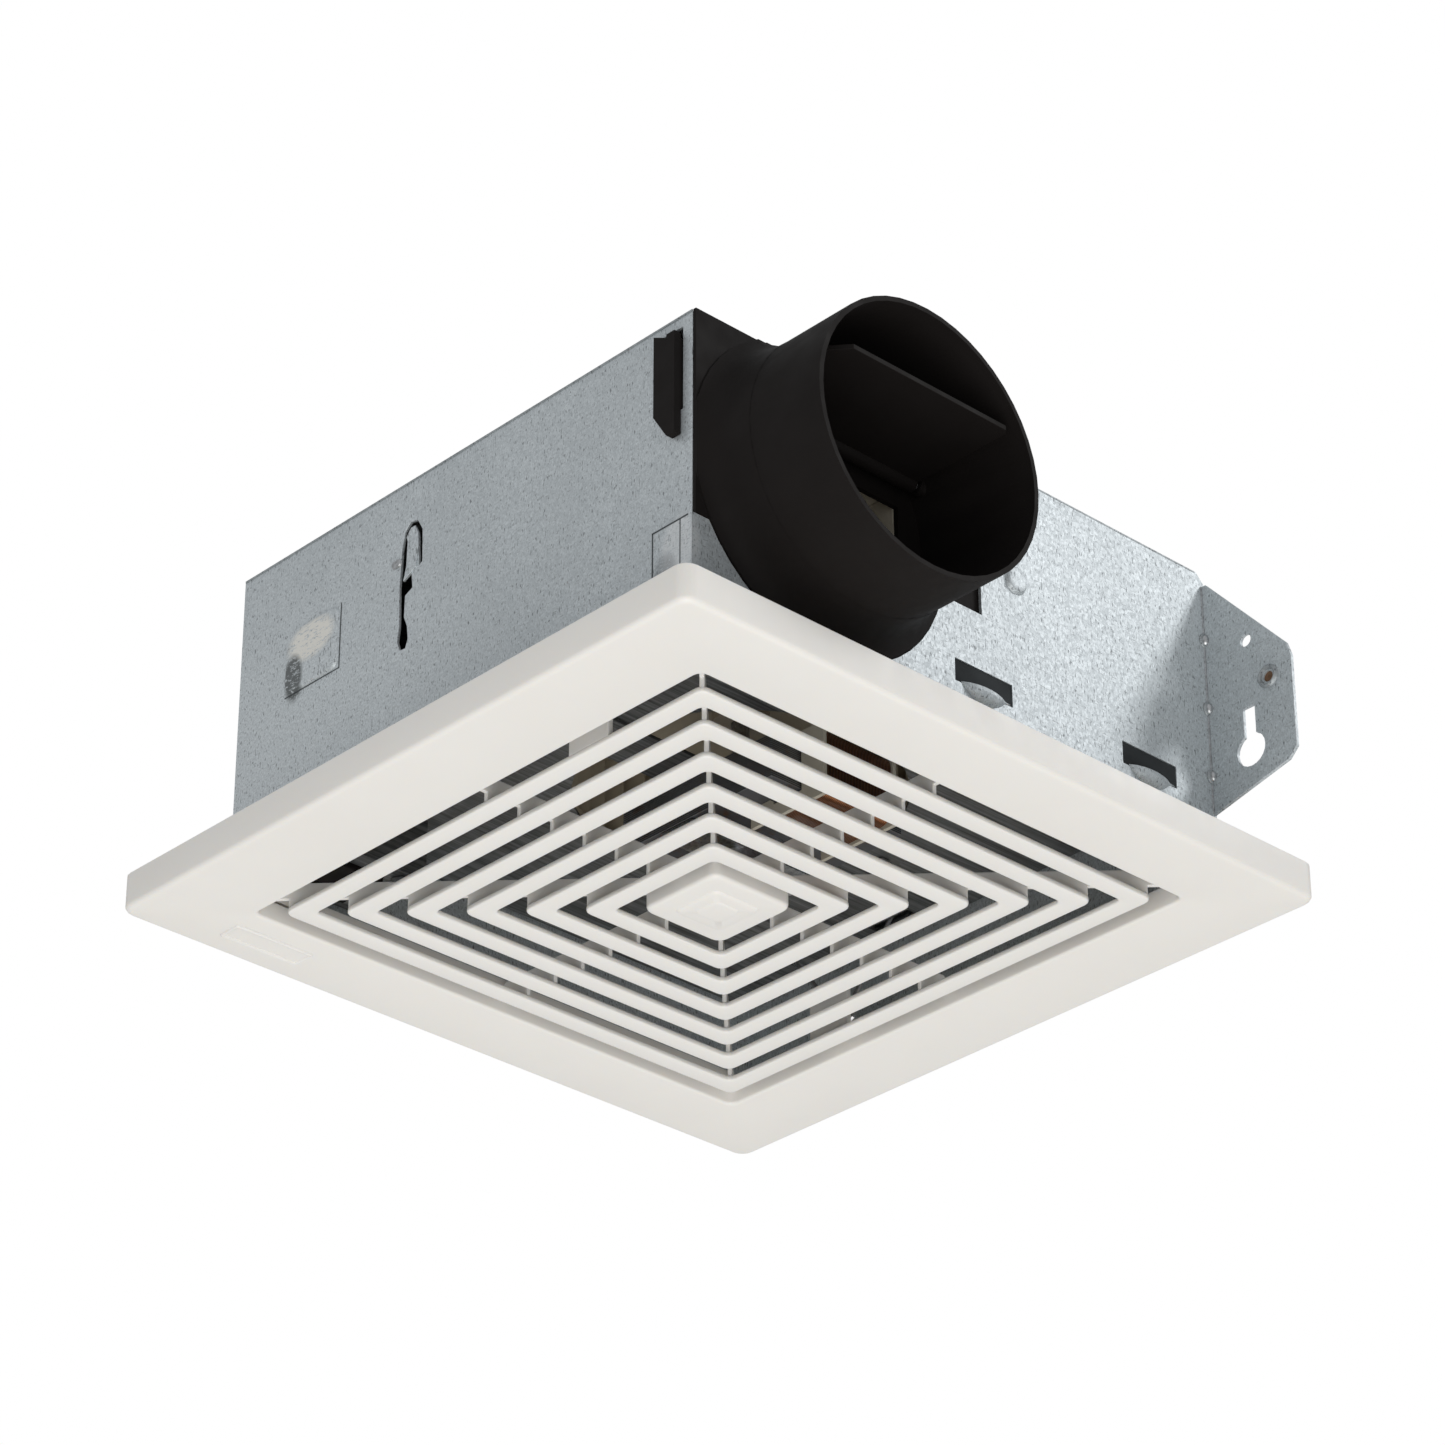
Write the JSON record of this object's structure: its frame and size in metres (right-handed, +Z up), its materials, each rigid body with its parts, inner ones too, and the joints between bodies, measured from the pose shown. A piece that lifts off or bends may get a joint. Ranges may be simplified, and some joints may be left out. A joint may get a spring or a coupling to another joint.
{
  "type": "bathroom extractor fan",
  "caption": "Ceiling extractor fan: galvanised housing with ears, square louvred grille held by torsion springs, duct collar with flap, and a blower on a shaded pole motor.",
  "frame": {"origin": "centre of the grille on the ceiling plane, where the grille's back rim touches the ceiling", "axes": "+Z up into the ceiling, +X out of the duct collar, +Y towards the mounting ears and the joist"},
  "size_m": [0.254, 0.23, 0.1037],
  "materials": {
    "galvanised_sheet": "galvanised, satin",
    "plated_steel": "zinc plated",
    "spring_steel": "drawn wire, satin",
    "black_plastic": "moulded, satin",
    "grille_plastic": "warm white, fine satin",
    "wheel_plastic": "natural, satin",
    "bobbin_plastic": "natural, satin",
    "copper_winding": "enamelled copper wire",
    "laminated_steel": "stacked laminations",
    "bronze": "sintered",
    "rubber": "matte",
    "green_screw": "dyed plating"
  },
  "bodies": {
    "housing": {"housing_shell": "galvanised_sheet", "duct_side_panel": "galvanised_sheet", "wiring_side_panel": "galvanised_sheet", "knockout_disc": "galvanised_sheet", "duct_collar": "black_plastic", "damper_pin": "plated_steel", "motor_plate": "galvanised_sheet", "plate_screw": "plated_steel", "blower_scroll": "wheel_plastic", "scroll_cover": "galvanised_sheet", "stator_stack": "laminated_steel", "coil_bobbin": "bobbin_plastic", "coil_winding": "copper_winding", "bearing_bracket_lower": "plated_steel", "bearing_bracket_upper": "plated_steel", "bearing_lower": "bronze", "bearing_upper": "bronze", "motor_bracket": "galvanised_sheet", "motor_bolt_front": "plated_steel", "motor_bolt_back": "plated_steel", "motor_nut_front": "plated_steel", "motor_nut_back": "plated_steel", "grommet_front": "rubber", "grommet_back": "rubber", "bracket_screw_front": "plated_steel", "bracket_screw_back": "plated_steel", "wiring_cover": "galvanised_sheet", "ground_screw": "green_screw", "wiring_screw": "plated_steel", "receptacle": "black_plastic"},
    "wheel": {"impeller": "wheel_plastic", "impeller_clip": "spring_steel", "motor_shaft": "plated_steel", "rotor": "laminated_steel"},
    "damper": {"damper_flap": "black_plastic"},
    "grille": {"grille": "grille_plastic", "spring_coil_front": "spring_steel", "spring_coil_back": "spring_steel"},
    "arm_front_left": {"spring_arm_front_left": "spring_steel"},
    "arm_front_right": {"spring_arm_front_right": "spring_steel"},
    "arm_back_left": {"spring_arm_back_left": "spring_steel"},
    "arm_back_right": {"spring_arm_back_right": "spring_steel"}
  },
  "joints": [
    {"name": "impeller_spin", "type": "hinge", "parent": "housing", "child": "wheel", "pos_m": [0.004, 0.005, 0.0446], "axis": [0, 0, 1], "continuous": true},
    {"name": "damper_swing", "type": "hinge", "parent": "housing", "child": "damper", "pos_m": [0.0956, -0.051, 0.07], "axis": [0, 1, 0], "range_deg": [0, 88]},
    {"name": "grille_drop", "type": "slide", "parent": "housing", "child": "grille", "axis": [0, 0, -1], "range_m": [0, 0.04], "stiffness_N_per_m": 80, "springref_m": -0.03},
    {"name": "arm_front_left_close", "type": "hinge", "parent": "grille", "child": "arm_front_left", "pos_m": [0.04, -0.0854, 0.0016], "axis": [0, 1, 0], "range_deg": [0, 26]},
    {"name": "arm_front_right_close", "type": "hinge", "parent": "grille", "child": "arm_front_right", "pos_m": [0.04, -0.0854, 0.0016], "axis": [0, -1, 0], "range_deg": [0, 26]},
    {"name": "arm_back_left_close", "type": "hinge", "parent": "grille", "child": "arm_back_left", "pos_m": [-0.04, 0.0854, 0.0016], "axis": [0, 1, 0], "range_deg": [0, 26]},
    {"name": "arm_back_right_close", "type": "hinge", "parent": "grille", "child": "arm_back_right", "pos_m": [-0.04, 0.0854, 0.0016], "axis": [0, -1, 0], "range_deg": [0, 26]}
  ],
  "couplings": [
    {"joint": "arm_front_left_close", "follows": "grille_drop", "rad_per_m": 11.3},
    {"joint": "arm_front_right_close", "follows": "grille_drop", "rad_per_m": 11.3},
    {"joint": "arm_back_left_close", "follows": "grille_drop", "rad_per_m": 11.3},
    {"joint": "arm_back_right_close", "follows": "grille_drop", "rad_per_m": 11.3}
  ]
}
